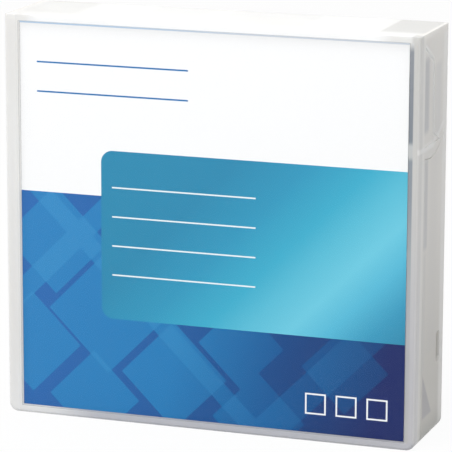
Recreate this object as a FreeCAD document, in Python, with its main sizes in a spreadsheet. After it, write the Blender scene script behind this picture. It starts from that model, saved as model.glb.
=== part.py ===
import FreeCAD, Part
import math
import os
import Sketcher

# A half-inch data tape cartridge standing in its translucent storage case.
# X is the case width, Y its depth with the front face at the low end, Z is up.
# The printed card lies behind the front wall, the cartridge behind the card with its label face up.
# The case opens like a cassette box: the rear tray turns on pins inside the lid's side wings.

SIZES = (
    # storage case
    ("side_room", 3.65),
    ("head_room", 2.4),
    ("rear_room", 2.2),
    ("front_wall", 1.3),
    ("back_wall", 1.3),
    ("top_wall", 1.4),
    ("bottom_wall", 1.4),
    ("side_wall", 1.4),
    ("lip_depth", 5.7),
    ("case_corner_radius", 2.6),
    ("case_edge_radius", 0.8),
    ("case_gap", 0.2),
    ("rib_width", 1.2),
    ("rib_place", 32.7),
    ("seat_depth", 5.0),
    ("cheek_inset", 1.0),
    # case hinge
    ("hinge_setback", 10.5),
    ("hinge_drop", 12.5),
    ("hinge_pin_radius", 1.6),
    ("hinge_pin_length", 0.9),
    ("hinge_fit", 0.08),
    ("sweep_gap", 0.3),
    ("tongue_half_width", 4.6),
    ("tongue_thickness", 1.2),
    ("tongue_foot_length", 7.0),
    ("slot_rise", 9.2),
    ("wing_relief", 0.25),
    ("wing_panel_lap", 0.7),
    ("wing_panel_drop", 17.25),
    ("wing_panel_heel", 14.7),
    ("wing_panel_tail", 9.0),
    ("wing_panel_tail_reach", 3.9),
    ("wing_panel_neck", 2.8),
    # case latch
    ("latch_height", 23.6),
    ("latch_window_width", 8.5),
    ("latch_window_depth", 3.5),
    ("latch_window_inset", 4.0),
    ("latch_window_rounding", 1.6),
    ("latch_arm_width", 6.4),
    ("latch_arm_thickness", 1.1),
    ("latch_bump", 0.12),
    ("latch_bump_margin", 1.0),
    # printed card
    ("card_side_margin", 1.95),
    ("card_thickness", 0.25),
    ("card_clearance", 0.06),
    ("card_bottom_edge", 1.7),
    ("card_top_margin", 1.7),
    ("card_tab_height", 80.0),
    ("card_tab_width", 3.2),
    ("card_tab_reach", 3.0),
    ("card_tab_thickness", 1.0),
    ("lower_tab_height", 52.6),
    ("lower_tab_width", 0.7),
    # cartridge
    ("cartridge_width", 105.4),
    ("cartridge_length", 102.0),
    ("reel_side_room", 1.35),
    ("cartridge_setback", 0.7),
    ("cartridge_rise", 4.2),
    ("cartridge_gap", 0.3),
    ("bottom_seat_gap", 0.7),
    ("shell_wall", 2.0),
    ("shell_floor", 1.8),
    ("shell_corner_radius", 3.0),
    ("shell_edge_chamfer", 0.7),
    ("grip_groove_depth", 0.5),
    ("grip_groove_width", 1.3),
    ("grip_pitch", 2.6),
    ("grip_count", 8),
    ("grip_start", 9.0),
    ("label_recess", 0.25),
    ("label_thickness", 0.2),
    ("label_tab_inset", 14.2),
    ("label_door_inset", 8.2),
    ("label_margin", 2.8),
    ("label_inset", 0.3),
    ("face_recess", 0.4),
    ("face_recess_margin", 11.6),
    ("face_recess_rise", 6.0),
    ("datum_rise", 9.0),
    ("datum_radius", 2.2),
    ("datum_hole_inset", 17.7),
    ("datum_slot_inset", 13.7),
    ("datum_slot_length", 6.0),
    # screws
    ("screw_inset", 5.7),
    ("screw_rear_drop", 14.2),
    ("screw_front_rise", 5.6),
    ("screw_door_inset", 9.1),
    ("screw_door_rise", 23.4),
    ("screw_radius", 1.0),
    ("screw_head_radius", 2.1),
    ("screw_head_height", 1.1),
    ("screw_head_sink", 0.25),
    ("screw_slot_width", 0.5),
    ("screw_slot_length", 2.6),
    ("screw_slot_depth", 0.6),
    ("screw_fit", 0.06),
    ("screw_reach", 6.0),
    ("boss_wall", 1.6),
    # reel
    ("tape_width", 12.6),
    ("tape_side_play", 0.1),
    ("flange_clearance", 1.0),
    ("flange_thickness", 1.2),
    ("hub_radius", 22.0),
    ("hub_wall", 2.2),
    ("hub_floor", 2.2),
    ("pack_step", 4.0),
    ("pack_fit", 0.05),
    ("drive_opening_radius", 18.3),
    ("drive_rim_gap", 0.5),
    ("drive_rim_width", 0.9),
    ("drive_rim_height", 1.4),
    ("seat_ring_width", 1.8),
    ("seat_ring_gap", 0.45),
    ("drive_tooth_count", 60),
    ("drive_tooth_rim_gap", 0.2),
    ("drive_tooth_length", 2.5),
    ("drive_tooth_base", 1.1),
    ("drive_tooth_height", 1.1),
    ("drive_plate_gap", 0.5),
    ("drive_plate_width", 3.7),
    ("drive_plate_thickness", 0.8),
    # reel brake
    ("lock_tooth_count", 60),
    ("lock_tooth_rim", 0.8),
    ("lock_tooth_length", 2.8),
    ("lock_tooth_base", 1.1),
    ("lock_tooth_height", 0.9),
    ("lock_tip_gap", 0.15),
    ("brake_disc_gap", 2.6),
    ("brake_disc_thickness", 1.5),
    ("brake_sleeve_radius", 5.6),
    ("brake_sleeve_length", 6.5),
    ("brake_post_side", 5.4),
    ("brake_post_fit", 0.15),
    ("brake_bore_blind", 0.3),
    ("brake_post_tip_gap", 2.7),
    ("brake_spring_gap", 1.6),
    ("brake_spring_wire", 0.8),
    ("brake_spring_turns", 3.5),
    ("spring_end_gap", 0.1),
    ("release_pad_rim", 0.6),
    ("release_pad_thickness", 0.8),
    ("release_pad_gap", 0.1),
    ("release_leg_count", 3),
    ("release_leg_plate_gap", 1.0),
    ("release_leg_radius", 1.4),
    ("release_leg_fit", 0.2),
    ("release_leg_length", 2.9),
    # access door and leader pin
    ("door_window_start", 4.4),
    ("door_window_length", 14.0),
    ("door_window_height", 14.0),
    ("door_thickness", 1.3),
    ("door_overlap", 1.7),
    ("door_gap", 0.2),
    ("door_grip_count", 4),
    ("door_grip_margin", 2.35),
    ("door_grip_depth", 0.45),
    ("door_spring_radius", 1.25),
    ("door_spring_wire", 0.35),
    ("door_spring_turns", 5),
    ("door_spring_length", 19.6),
    ("door_stop_thickness", 1.5),
    ("door_stop_reach", 1.2),
    ("leader_pin_inset", 8.2),
    ("leader_pin_rise", 7.8),
    ("leader_pin_radius", 1.2),
    ("leader_flange_radius", 2.4),
    ("leader_flange_thickness", 1.6),
    ("leader_pin_gap", 0.3),
    ("clamp_wall", 0.8),
    ("clamp_fit", 0.08),
    ("clamp_slot", 1.2),
    ("leader_thickness", 0.2),
    ("leader_gap", 0.25),
    ("leaf_thickness", 0.3),
    ("leaf_width", 1.4),
    ("leaf_length", 7.0),
    ("leaf_bend", 1.8),
    ("leaf_tip_rise", 2.6),
    ("leaf_knee_drop", 1.2),
    # write-protect tab and memory board
    ("protect_slot_inset", 1.7),
    ("protect_slot_length", 10.0),
    ("protect_thumb_length", 5.4),
    ("protect_end_gap", 0.4),
    ("protect_side_gap", 0.2),
    ("protect_slot_margin", 1.9),
    ("protect_base_thickness", 1.2),
    ("protect_base_extra", 1.0),
    ("protect_top_gap", 0.4),
    ("protect_groove_depth", 0.4),
    ("protect_rail_thickness", 1.2),
    ("protect_rail_depth", 4.0),
    ("protect_rail_reach", 1.4),
    ("memory_inset", 7.3),
    ("memory_drop", 6.9),
    ("memory_length", 8.0),
    ("memory_thickness", 0.8),
    ("memory_height", 8.0),
    ("memory_post_length", 2.0),
    ("memory_post_width", 1.6),
)


class Size:
    """A number from the sheet, together with the expression that gives it."""

    def __init__(self, number, formula):
        self.number = number
        self.formula = formula

    def __add__(self, other):
        other = size_of(other)
        return Size(self.number + other.number, f"({self.formula} + {other.formula})")

    def __sub__(self, other):
        other = size_of(other)
        return Size(self.number - other.number, f"({self.formula} - {other.formula})")

    def __mul__(self, other):
        other = size_of(other)
        return Size(self.number * other.number, f"({self.formula} * {other.formula})")

    def __truediv__(self, other):
        other = size_of(other)
        return Size(self.number / other.number, f"({self.formula} / {other.formula})")

    def __neg__(self):
        return Size(-self.number, f"(0 - {self.formula})")

    def root(self):
        return Size(math.sqrt(self.number), f"sqrt({self.formula})")

    def smaller(self, other):
        return Size(min(self.number, other.number), f"min({self.formula}; {other.formula})")


def size_of(value):
    """Takes a plain number or a Size and gives a Size."""
    if isinstance(value, Size):
        return value
    return Size(float(value), f"({float(value)})")


class Sheet:
    """The driving dimensions: each attribute is a Size bound to a named cell."""

    def __init__(self, document, table):
        cells = document.addObject("Spreadsheet::Sheet", "dims")
        for row, (name, number) in enumerate(table, start=1):
            cells.set(f"A{row}", name)
            cells.set(f"B{row}", str(number))
            cells.setAlias(f"B{row}", name)
            setattr(self, name, Size(float(number), f"dims.{name}"))


doc = FreeCAD.newDocument("tape_cartridge_in_case")
d = Sheet(doc, SIZES)
doc.recompute()

PLANES = {"X": "YZ_Plane", "Y": "XZ_Plane", "Z": "XY_Plane"}
made = []


# ---------------------------------------------------------------- modelling helpers


def rectangle(u0, v0, u1, v1):
    return [(u0, v0), (u1, v0), (u1, v1), (u0, v1)]


def disc(u, v, radius):
    return (u, v, radius)


def new_body(label, x=0, y=0, z=0):
    """A sub-part's body, placed at a point that follows the sheet."""
    part = doc.addObject("PartDesign::Body", label)
    part.Label = label
    for axis, value in (("x", x), ("y", y), ("z", z)):
        part.setExpression(f"Placement.Base.{axis}", size_of(value).formula)
    made.append(part)
    return part


def origin_feature(part, role):
    return next(f for f in part.Origin.OriginFeatures if f.Role == role)


def new_sketch(part, axis, level):
    """A sketch square to an axis, at a level along it. The Y sketch plane faces the low end."""
    sketch = part.newObject("Sketcher::SketchObject", f"{part.Label}_outline")
    sketch.AttachmentSupport = [(origin_feature(part, PLANES[axis]), "")]
    sketch.MapMode = "FlatFace"
    offset = -size_of(level) if axis == "Y" else size_of(level)
    sketch.setExpression("AttachmentOffset.Base.z", offset.formula)
    return sketch


def pin_point(sketch, geometry, vertex, u, v):
    """Ties one sketch point to its two named distances from the origin."""
    for kind, value in (("DistanceX", u), ("DistanceY", v)):
        value = size_of(value)
        index = sketch.addConstraint(
            Sketcher.Constraint(kind, -1, 1, geometry, vertex, value.number)
        )
        sketch.setExpression(f"Constraints[{index}]", value.formula)


def draw(sketch, outline):
    """Draws a disc (u, v, radius) or a closed polygon, a list of (u, v)."""
    if isinstance(outline, tuple):
        u, v, radius = (size_of(value) for value in outline)
        centre = FreeCAD.Vector(u.number, v.number, 0)
        up = FreeCAD.Vector(0, 0, 1)
        edge = sketch.addGeometry(Part.Circle(centre, up, radius.number), False)
        pin_point(sketch, edge, 3, u, v)
        index = sketch.addConstraint(Sketcher.Constraint("Radius", edge, radius.number))
        sketch.setExpression(f"Constraints[{index}]", radius.formula)
        return
    corners = [
        FreeCAD.Vector(size_of(u).number, size_of(v).number, 0) for u, v in outline
    ]
    count = len(corners)
    edges = [
        sketch.addGeometry(Part.LineSegment(corners[i], corners[(i + 1) % count]), False)
        for i in range(count)
    ]
    for i in range(count):
        following = edges[(i + 1) % count]
        sketch.addConstraint(Sketcher.Constraint("Coincident", edges[i], 2, following, 1))
        pin_point(sketch, edges[i], 1, *outline[i])


def grow(part, axis, low, high, *outlines):
    """Adds material between two levels along an axis."""
    low, high = size_of(low), size_of(high)
    sketch = new_sketch(part, axis, high if axis == "Y" else low)
    for outline in outlines:
        draw(sketch, outline)
    pad = part.newObject("PartDesign::Pad", f"{part.Label}_pad")
    pad.Profile = sketch
    pad.setExpression("Length", (high - low).formula)
    doc.recompute()
    return pad


def carve(part, axis, low, high, *outlines):
    """Removes material between two levels along an axis, and checks that it did."""
    low, high = size_of(low), size_of(high)
    before = part.Shape.Volume
    sketch = new_sketch(part, axis, low if axis == "Y" else high)
    for outline in outlines:
        draw(sketch, outline)
    pocket = part.newObject("PartDesign::Pocket", f"{part.Label}_pocket")
    pocket.Profile = sketch
    pocket.setExpression("Length", (high - low).formula)
    doc.recompute()
    if not part.Shape.Volume < before:
        raise RuntimeError(f"{part.Label}: a pocket removed nothing")
    return pocket


def edges_along(shape, axis, wanted):
    """Names of the edges parallel to an axis whose ends all pass the test."""
    names = []
    for i, edge in enumerate(shape.Edges, start=1):
        span = edge.BoundBox
        lengths = {"x": span.XLength, "y": span.YLength, "z": span.ZLength}
        straight = all((length > 1e-4) == (name == axis) for name, length in lengths.items())
        if straight and all(wanted(v.Point) for v in edge.Vertexes):
            names.append(f"Edge{i}")
    return names


def face_edges(shape, wanted):
    """Names of the edges whose ends all pass the test, whatever their shape."""
    return [
        f"Edge{i}"
        for i, edge in enumerate(shape.Edges, start=1)
        if all(wanted(v.Point) for v in edge.Vertexes)
    ]


def soften(part, kind, amount, names):
    """Fillets or chamfers the named edges of the body's last feature."""
    if not names:
        raise RuntimeError(f"{part.Label}: no edge to round")
    tip = part.Tip
    feature = part.newObject(f"PartDesign::{kind}", f"{part.Label}_{kind}")
    feature.Base = (tip, names)
    feature.setExpression("Radius" if kind == "Fillet" else "Size", amount.formula)
    doc.recompute()
    return feature


def around(part, feature, count):
    """Repeats one feature evenly about the body's own Y axis."""
    pattern = part.newObject("PartDesign::PolarPattern", f"{part.Label}_ring")
    pattern.Originals = [feature]
    pattern.Axis = (origin_feature(part, "Y_Axis"), [""])
    pattern.Angle = 360
    pattern.setExpression("Occurrences", size_of(count).formula)
    part.Tip = pattern
    doc.recompute()
    return pattern


def coil(part, axis, radius, wire, height, turns):
    """A square-wire compression spring about the body's own Y or Z axis."""
    sketch = part.newObject("Sketcher::SketchObject", f"{part.Label}_wire")
    role = "XY_Plane" if axis == "Y" else "XZ_Plane"
    sketch.AttachmentSupport = [(origin_feature(part, role), "")]
    sketch.MapMode = "FlatFace"
    draw(sketch, rectangle(radius - wire / 2, 0, radius + wire / 2, wire))
    doc.recompute()
    helix = part.newObject("PartDesign::AdditiveHelix", f"{part.Label}_coil")
    helix.Profile = sketch
    helix.ReferenceAxis = (sketch, ["V_Axis"])
    helix.Mode = 2
    helix.setExpression("Height", (height - wire).formula)
    helix.setExpression("Turns", turns.formula)
    doc.recompute()


def near(a, b):
    return abs(a - size_of(b).number) < 1e-4


# ---------------------------------------------------------------- places shared by the pieces

tape_half = d.tape_width / 2 + d.tape_side_play
cartridge_thickness = (tape_half + d.flange_thickness + d.reel_side_room + d.shell_floor) * 2
cart_half = d.cartridge_width / 2

case_depth = d.front_wall + d.cartridge_setback + cartridge_thickness + d.rear_room + d.back_wall
half_width = cart_half + d.side_room + d.side_wall
front = -case_depth / 2
back = case_depth / 2
top = d.cartridge_rise + d.cartridge_length + d.head_room + d.top_wall
wall_inside = half_width - d.side_wall
lip_end = front + d.lip_depth

hinge_y = front + d.hinge_setback
hinge_z = top - d.hinge_drop
hinge_to_back = back - hinge_y
sweep = (hinge_to_back * hinge_to_back + d.hinge_drop * d.hinge_drop).root()
tray_sweep = sweep + d.sweep_gap
tongue_outer = wall_inside - d.case_gap
tongue_inner = tongue_outer - d.tongue_thickness
window_end = back - d.latch_window_inset
window_start = window_end - d.latch_window_depth

card_front = front + d.front_wall + d.card_clearance
card_back = card_front + d.card_thickness

cart_front = front + d.front_wall + d.cartridge_setback
cart_back = cart_front + cartridge_thickness
cart_mid = (cart_front + cart_back) / 2
cart_bottom = d.cartridge_rise
cart_top = cart_bottom + d.cartridge_length
inner_half = cart_half - d.shell_wall
inner_front = cart_front + d.shell_floor
inner_back = cart_back - d.shell_floor
inner_bottom = cart_bottom + d.shell_wall
inner_top = cart_top - d.shell_wall

reel_z = (cart_bottom + cart_top) / 2
flange_inner_face = cart_mid + tape_half
flange_outer_face = flange_inner_face + d.flange_thickness
cap_inner_face = cart_mid - tape_half
cap_outer_face = cap_inner_face - d.flange_thickness
narrow_half = cart_half.smaller(d.cartridge_length / 2)
flange_radius = narrow_half - d.shell_wall - d.flange_clearance
pack_radius = flange_radius - d.pack_step
hub_cavity_radius = d.hub_radius - d.hub_wall
rim_outer = d.drive_opening_radius - d.drive_rim_gap
rim_inner = rim_outer - d.drive_rim_width
drive_tooth_outer = rim_inner - d.drive_tooth_rim_gap
drive_tooth_inner = drive_tooth_outer - d.drive_tooth_length
drive_plate_outer = drive_tooth_inner - d.drive_plate_gap
drive_plate_inner = drive_plate_outer - d.drive_plate_width
leg_circle = drive_plate_inner - d.release_leg_plate_gap - d.release_leg_radius
release_pad_radius = leg_circle + d.release_leg_radius + d.release_pad_rim
brake_disc_radius = hub_cavity_radius - d.brake_disc_gap
lock_tooth_outer = brake_disc_radius - d.lock_tooth_rim
lock_tooth_inner = lock_tooth_outer - d.lock_tooth_length
brake_spring_radius = d.brake_sleeve_radius + d.brake_spring_gap + d.brake_spring_wire / 2
hub_floor_inside = flange_outer_face - d.hub_floor
lock_tip = hub_floor_inside - d.lock_tip_gap
brake_face = lock_tip - d.lock_tooth_height
brake_rear = brake_face - d.brake_disc_thickness
brake_bore_end = brake_rear + d.brake_bore_blind
pad_rear = brake_face + d.release_pad_gap
pad_face = pad_rear + d.release_pad_thickness

screw_side = cart_half - d.screw_inset
screw_places = (
    (-screw_side, cart_bottom + d.screw_front_rise),
    (-screw_side, cart_top - d.screw_rear_drop),
    (screw_side, cart_top - d.screw_rear_drop),
    (cart_half - d.screw_door_inset, cart_bottom + d.screw_door_rise),
)
boss_radius = d.screw_radius + d.screw_fit + d.boss_wall
head_recess_radius = d.screw_head_radius + d.screw_fit * 2
head_outer = cart_back - d.screw_head_sink
head_seat = head_outer - d.screw_head_height
screw_tip = cart_mid - d.screw_reach

door_low = cart_bottom + d.door_window_start - d.door_overlap
door_high = cart_bottom + d.door_window_start + d.door_window_length + d.door_overlap
door_outer = inner_half - d.door_gap
door_inner = door_outer - d.door_thickness
door_spring_x = door_outer - d.door_spring_radius - d.door_spring_wire / 2
door_stop = door_high + d.door_spring_length + d.spring_end_gap * 2

label_start = -cart_half + d.label_tab_inset
label_end = cart_half - d.label_door_inset

pin_x = cart_half - d.leader_pin_inset
pin_z = cart_bottom + d.leader_pin_rise
pin_low = inner_front + d.leader_pin_gap
pin_high = inner_back - d.leader_pin_gap
clamp_inner = d.leader_pin_radius + d.clamp_fit
clamp_outer = clamp_inner + d.clamp_wall
tape_low = cart_mid - d.tape_width / 2
tape_high = cart_mid + d.tape_width / 2

protect_low = cart_mid + d.protect_slot_margin
protect_high = inner_back - d.protect_slot_margin
protect_start = -cart_half + d.protect_slot_inset
protect_end = protect_start + d.protect_slot_length
thumb_start = protect_start + d.protect_end_gap
thumb_end = thumb_start + d.protect_thumb_length
thumb_top = cart_top - d.protect_top_gap
base_top = inner_top - d.protect_side_gap
base_bottom = base_top - d.protect_base_thickness
base_low = protect_low - d.protect_base_extra
base_high = protect_high + d.protect_base_extra

memory_x = cart_half - d.memory_inset
memory_z = cart_top - d.memory_drop


def across(side, inner, outer):
    """The low and high ends of a span beside the middle plane, on the left or the right."""
    return (inner, outer) if side > 0 else (-outer, -inner)


def leg_discs(radius):
    """The three release legs' circles about the reel's axis, the first one straight up."""
    discs = []
    count = int(d.release_leg_count.number)
    for k in range(count):
        turn = math.pi / 2 + 2 * math.pi * k / count
        discs.append(disc(leg_circle * math.cos(turn), leg_circle * math.sin(turn), radius))
    return discs


# ---------------------------------------------------------------- storage case


def make_case_lid():
    """Front cover: window wall, shallow sides, label-end pocket and the hinge wings."""
    lid = new_body("case_lid")
    grow(lid, "Y", front, front + d.front_wall, rectangle(-half_width, 0, half_width, top))
    for side in (-1, 1):
        low, high = across(side, wall_inside, half_width)
        grow(lid, "Z", 0, top, rectangle(low, front, high, lip_end))
        grow(lid, "X", low, high, disc(hinge_y, hinge_z, sweep))
    beyond = sweep * 2
    ahead = rectangle(front - beyond, hinge_z - beyond, front, hinge_z + beyond)
    above = rectangle(front, top, back + beyond, hinge_z + beyond)
    behind = rectangle(back, hinge_z - beyond, back + beyond, top)
    for outside in (ahead, above, behind):
        carve(lid, "X", -half_width, half_width, outside)
    grow(lid, "Z", top - d.top_wall, top, rectangle(-half_width, front, half_width, back))
    pocket_low = hinge_z - (sweep * sweep - hinge_to_back * hinge_to_back).root()
    pocket_wall = rectangle(-half_width, pocket_low, half_width, top)
    grow(lid, "Y", back - d.back_wall, back, pocket_wall)
    slot_inner = tongue_inner - d.case_gap * 2
    slot_top = hinge_z + d.slot_rise
    for side in (-1, 1):
        slot = rectangle(slot_inner * side, pocket_low - d.back_wall, wall_inside * side, slot_top)
        carve(lid, "Y", back - d.back_wall * 2, back, slot)
        hole = disc(hinge_y, hinge_z, d.hinge_pin_radius + d.hinge_fit)
        low, high = across(side, wall_inside, wall_inside + d.hinge_pin_length - d.case_gap / 2)
        carve(lid, "X", low, high, hole)
    add_lid_ribs(lid)
    add_wing_relief(lid)
    round_case_corners(lid, front)
    return lid


def add_lid_ribs(lid):
    """Locating ribs and cheeks in the pocket, the card's retaining tabs and the latch arms."""
    roof = top - d.top_wall
    rib_face = cart_back + d.cartridge_gap
    for side in (-1, 1):
        x = d.rib_place * side
        for low, face in ((hinge_z - d.hinge_drop / 2, rib_face),
                          (cart_top + d.cartridge_gap, cart_front)):
            grow(
                lid, "Z", low, roof,
                rectangle(x - d.rib_width / 2, face, x + d.rib_width / 2, back - d.back_wall),
            )
        low, high = across(side, cart_half + d.cartridge_gap, tongue_inner - d.cartridge_gap)
        cheek = rectangle(low, cart_front + d.cheek_inset, high, cart_back - d.cheek_inset)
        grow(lid, "Z", hinge_z + d.tongue_half_width / 2, roof, cheek)
        add_card_tabs(lid, side)
        add_latch_arm(lid, side)


def add_card_tabs(lid, side):
    """Two tabs on one side wall that keep the card against the front wall."""
    low, high = across(side, wall_inside - d.card_tab_reach, wall_inside)
    face = card_back + d.card_clearance * 2
    for height, width in (
        (d.card_tab_height, d.card_tab_width),
        (d.lower_tab_height, d.lower_tab_width),
    ):
        tab = rectangle(low, face, high, face + d.card_tab_thickness)
        grow(lid, "Z", height - width / 2, height + width / 2, tab)


def add_latch_arm(lid, side):
    """A springy arm inside one side wall, with a low bump that snaps into the tray's window."""
    arm_end = window_end + d.case_gap * 2
    arm_low = d.latch_height - d.latch_arm_width / 2
    arm_high = d.latch_height + d.latch_arm_width / 2
    low, high = across(side, tongue_outer - d.latch_arm_thickness, tongue_outer)
    grow(lid, "Z", arm_low, arm_high, rectangle(low, front + d.front_wall, high, arm_end))
    low, high = across(side, tongue_outer, tongue_outer + d.latch_bump)
    bump = rectangle(low, window_start + d.case_gap * 2, high, window_end)
    grow(lid, "Z", arm_low + d.latch_bump_margin, arm_high - d.latch_bump_margin, bump)


def add_wing_relief(lid):
    """The shallow panel, one corner cut off, on the outside of each hinge wing."""
    start = lip_end - d.wing_panel_lap
    panel = [
        (start, hinge_z - d.wing_panel_drop),
        (hinge_y + d.wing_panel_tail, hinge_z - d.wing_panel_drop),
        (hinge_y + d.wing_panel_tail_reach, hinge_z - d.wing_panel_heel),
        (hinge_y + d.wing_panel_neck, hinge_z + d.tongue_half_width),
        (start, hinge_z + d.tongue_half_width * 2),
    ]
    for side in (-1, 1):
        low, high = across(side, half_width - d.wing_relief, half_width)
        carve(lid, "X", low, high, panel)


def round_case_corners(part, face_y):
    """Rounds the two bottom corners broadly, then finely the upright edges and one face's foot."""
    def on_side(point):
        return near(abs(point.x), half_width)

    def on_face(point):
        return near(point.y, face_y)

    corners = edges_along(part.Tip.Shape, "y", lambda p: on_side(p) and near(p.z, 0))
    soften(part, "Fillet", d.case_corner_radius, corners)
    shape = part.Tip.Shape
    corner_top = d.case_corner_radius.number + 1e-4
    upright = edges_along(
        shape, "z", lambda p: on_side(p) and (near(p.y, front) or near(p.y, back))
    )
    foot = face_edges(
        shape, lambda p: on_face(p) and p.z < corner_top and (on_side(p) or near(p.z, 0))
    )
    soften(part, "Fillet", d.case_edge_radius, upright + foot)


def make_case_tray():
    """Rear tray: back, bottom and side walls, hinge tongues with pins, ribs and latch windows."""
    tray = new_body("case_tray")
    inside = back - d.back_wall
    side_front = lip_end + d.case_gap
    grow(tray, "Y", inside, back, rectangle(-half_width, 0, half_width, hinge_z))
    floor_front = front + d.front_wall + d.case_gap
    narrow = wall_inside - d.case_gap
    floor = [
        (-narrow, floor_front), (narrow, floor_front), (narrow, side_front),
        (half_width, side_front), (half_width, back),
        (-half_width, back), (-half_width, side_front), (-narrow, side_front),
    ]
    grow(tray, "Z", 0, d.bottom_wall, floor)
    for side in (-1, 1):
        low, high = across(side, wall_inside, half_width)
        grow(tray, "Z", 0, hinge_z, rectangle(low, side_front, high, back))
        x = d.rib_place * side
        rib_face = cart_back + d.cartridge_gap
        rib = rectangle(x - d.rib_width / 2, rib_face, x + d.rib_width / 2, inside)
        grow(tray, "Z", 0, hinge_z, rib)
        seat_face = cart_back - d.seat_depth
        seat = rectangle(x - d.rib_width * 2, seat_face, x + d.rib_width * 2, inside)
        grow(tray, "Z", 0, cart_bottom - d.bottom_seat_gap, seat)
    carve(tray, "X", -half_width, half_width, disc(hinge_y, hinge_z, tray_sweep))
    window_low = d.latch_height - d.latch_window_width / 2
    window_high = d.latch_height + d.latch_window_width / 2
    for side in (-1, 1):
        low, high = across(side, wall_inside, half_width)
        carve(tray, "X", low, high, rectangle(window_start, window_low, window_end, window_high))
        add_hinge_tongue(tray, side)
    window_corners = edges_along(
        tray.Tip.Shape, "x",
        lambda p: (near(p.y, window_start) or near(p.y, window_end))
        and (near(p.z, window_low) or near(p.z, window_high)),
    )
    soften(tray, "Fillet", d.latch_window_rounding, window_corners)
    round_case_corners(tray, back)
    return tray


def add_hinge_tongue(tray, side):
    """A tongue inside one lid wing, rounded about the hinge, with its foot and its pin."""
    half = d.tongue_half_width
    foot_top = hinge_z - tray_sweep
    foot_bottom = foot_top - d.tongue_foot_length
    low, high = across(side, tongue_inner, tongue_outer)
    grow(tray, "X", low, high, rectangle(hinge_y - half, foot_bottom, hinge_y + half, hinge_z))
    grow(tray, "X", low, high, disc(hinge_y, hinge_z, half))
    low, high = across(side, tongue_outer, wall_inside)
    grow(tray, "X", low, high, rectangle(hinge_y - half, foot_bottom, hinge_y + half, foot_top))
    low, high = across(side, tongue_outer, wall_inside + d.hinge_pin_length - d.case_gap)
    grow(tray, "X", low, high, disc(hinge_y, hinge_z, d.hinge_pin_radius))


def make_insert_card():
    """The printed card behind the front wall."""
    card = new_body("insert_card")
    half = wall_inside - d.card_side_margin
    sheet = rectangle(-half, d.card_bottom_edge, half, top - d.card_top_margin)
    grow(card, "Y", card_front, card_back, sheet)
    return card


# ---------------------------------------------------------------- cartridge shells


def shell_blank(label, low, high, cavity_low, cavity_high, outer_face):
    """Half of the cartridge housing: a rounded tray with the outer edge chamfered."""
    shell = new_body(label)
    outer = rectangle(-cart_half, cart_bottom, cart_half, cart_top)
    grow(shell, "Y", low, high, outer)
    corners = edges_along(shell.Tip.Shape, "y", lambda p: True)
    soften(shell, "Fillet", d.shell_corner_radius, corners)
    rim = face_edges(shell.Tip.Shape, lambda p: near(p.y, outer_face))
    soften(shell, "Chamfer", d.shell_edge_chamfer, rim)
    cavity = rectangle(-inner_half, inner_bottom, inner_half, inner_top)
    carve(shell, "Y", cavity_low, cavity_high, cavity)
    return shell


def cut_side_features(shell, window_span, groove_span, label_span):
    """Door window, grip grooves and label recess in one half, over the given depths."""
    window_low = cart_bottom + d.door_window_start
    window_high = window_low + d.door_window_length
    window = rectangle(window_span[0], window_low, window_span[1], window_high)
    carve(shell, "X", inner_half, cart_half, window)
    grooves = []
    for i in range(int(d.grip_count.number)):
        z = cart_top - d.grip_start - d.grip_pitch * i
        grooves.append(rectangle(groove_span[0], z - d.grip_groove_width, groove_span[1], z))
    carve(shell, "X", cart_half - d.grip_groove_depth, cart_half, *grooves)
    carve(shell, "X", -cart_half, -cart_half + d.grip_groove_depth, *grooves)
    recess = rectangle(label_start, label_span[0], label_end, label_span[1])
    carve(shell, "Z", cart_top - d.label_recess, cart_top, recess)


def make_lower_shell():
    """Drive-side half, at the rear: reel opening, screw bosses, door stop and tab rail."""
    shell = shell_blank("lower_shell", cart_mid, cart_back, cart_mid, inner_back, cart_back)
    ring_top = flange_outer_face + d.seat_ring_gap
    ring = disc(0, reel_z, d.drive_opening_radius + d.seat_ring_width)
    grow(shell, "Y", ring_top, inner_back, ring)
    for x, z in screw_places:
        grow(shell, "Y", cart_mid, inner_back, disc(x, z, boss_radius))
    carve(shell, "Y", ring_top, cart_back, disc(0, reel_z, d.drive_opening_radius))
    for x, z in screw_places:
        carve(shell, "Y", head_seat, cart_back, disc(x, z, head_recess_radius))
        carve(shell, "Y", cart_mid, head_seat, disc(x, z, d.screw_radius + d.screw_fit))
    cut_side_features(
        shell,
        (cart_mid, cart_mid + d.door_window_height / 2),
        (cart_mid, cart_back - d.shell_edge_chamfer * 2),
        (cart_mid, cart_back - d.label_margin),
    )
    slot = rectangle(protect_start, protect_low, protect_end, protect_high)
    carve(shell, "Z", inner_top, cart_top, slot)
    rail_top = base_bottom - d.protect_side_gap
    rail_low = rail_top - d.protect_rail_thickness
    rail = rectangle(-inner_half, rail_low, protect_end + d.protect_rail_reach, rail_top)
    grow(shell, "Y", inner_back - d.protect_rail_depth, inner_back, rail)
    stop_top = door_stop + d.door_stop_thickness
    stop = rectangle(door_inner - d.door_stop_reach, door_stop, inner_half, stop_top)
    grow(shell, "Y", cart_mid, inner_back, stop)
    add_datum_marks(shell)
    add_memory_posts(shell)
    return shell


def add_datum_marks(shell):
    """The round and the slotted locating recesses on the drive face."""
    depth = d.shell_floor / 2
    z = cart_bottom + d.datum_rise
    hole = disc(cart_half - d.datum_hole_inset, z, d.datum_radius)
    carve(shell, "Y", cart_back - depth, cart_back, hole)
    start = -cart_half + d.datum_slot_inset
    end = start + d.datum_slot_length
    slot = rectangle(start, z - d.datum_radius, end, z + d.datum_radius)
    carve(shell, "Y", cart_back - depth, cart_back, slot)


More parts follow.
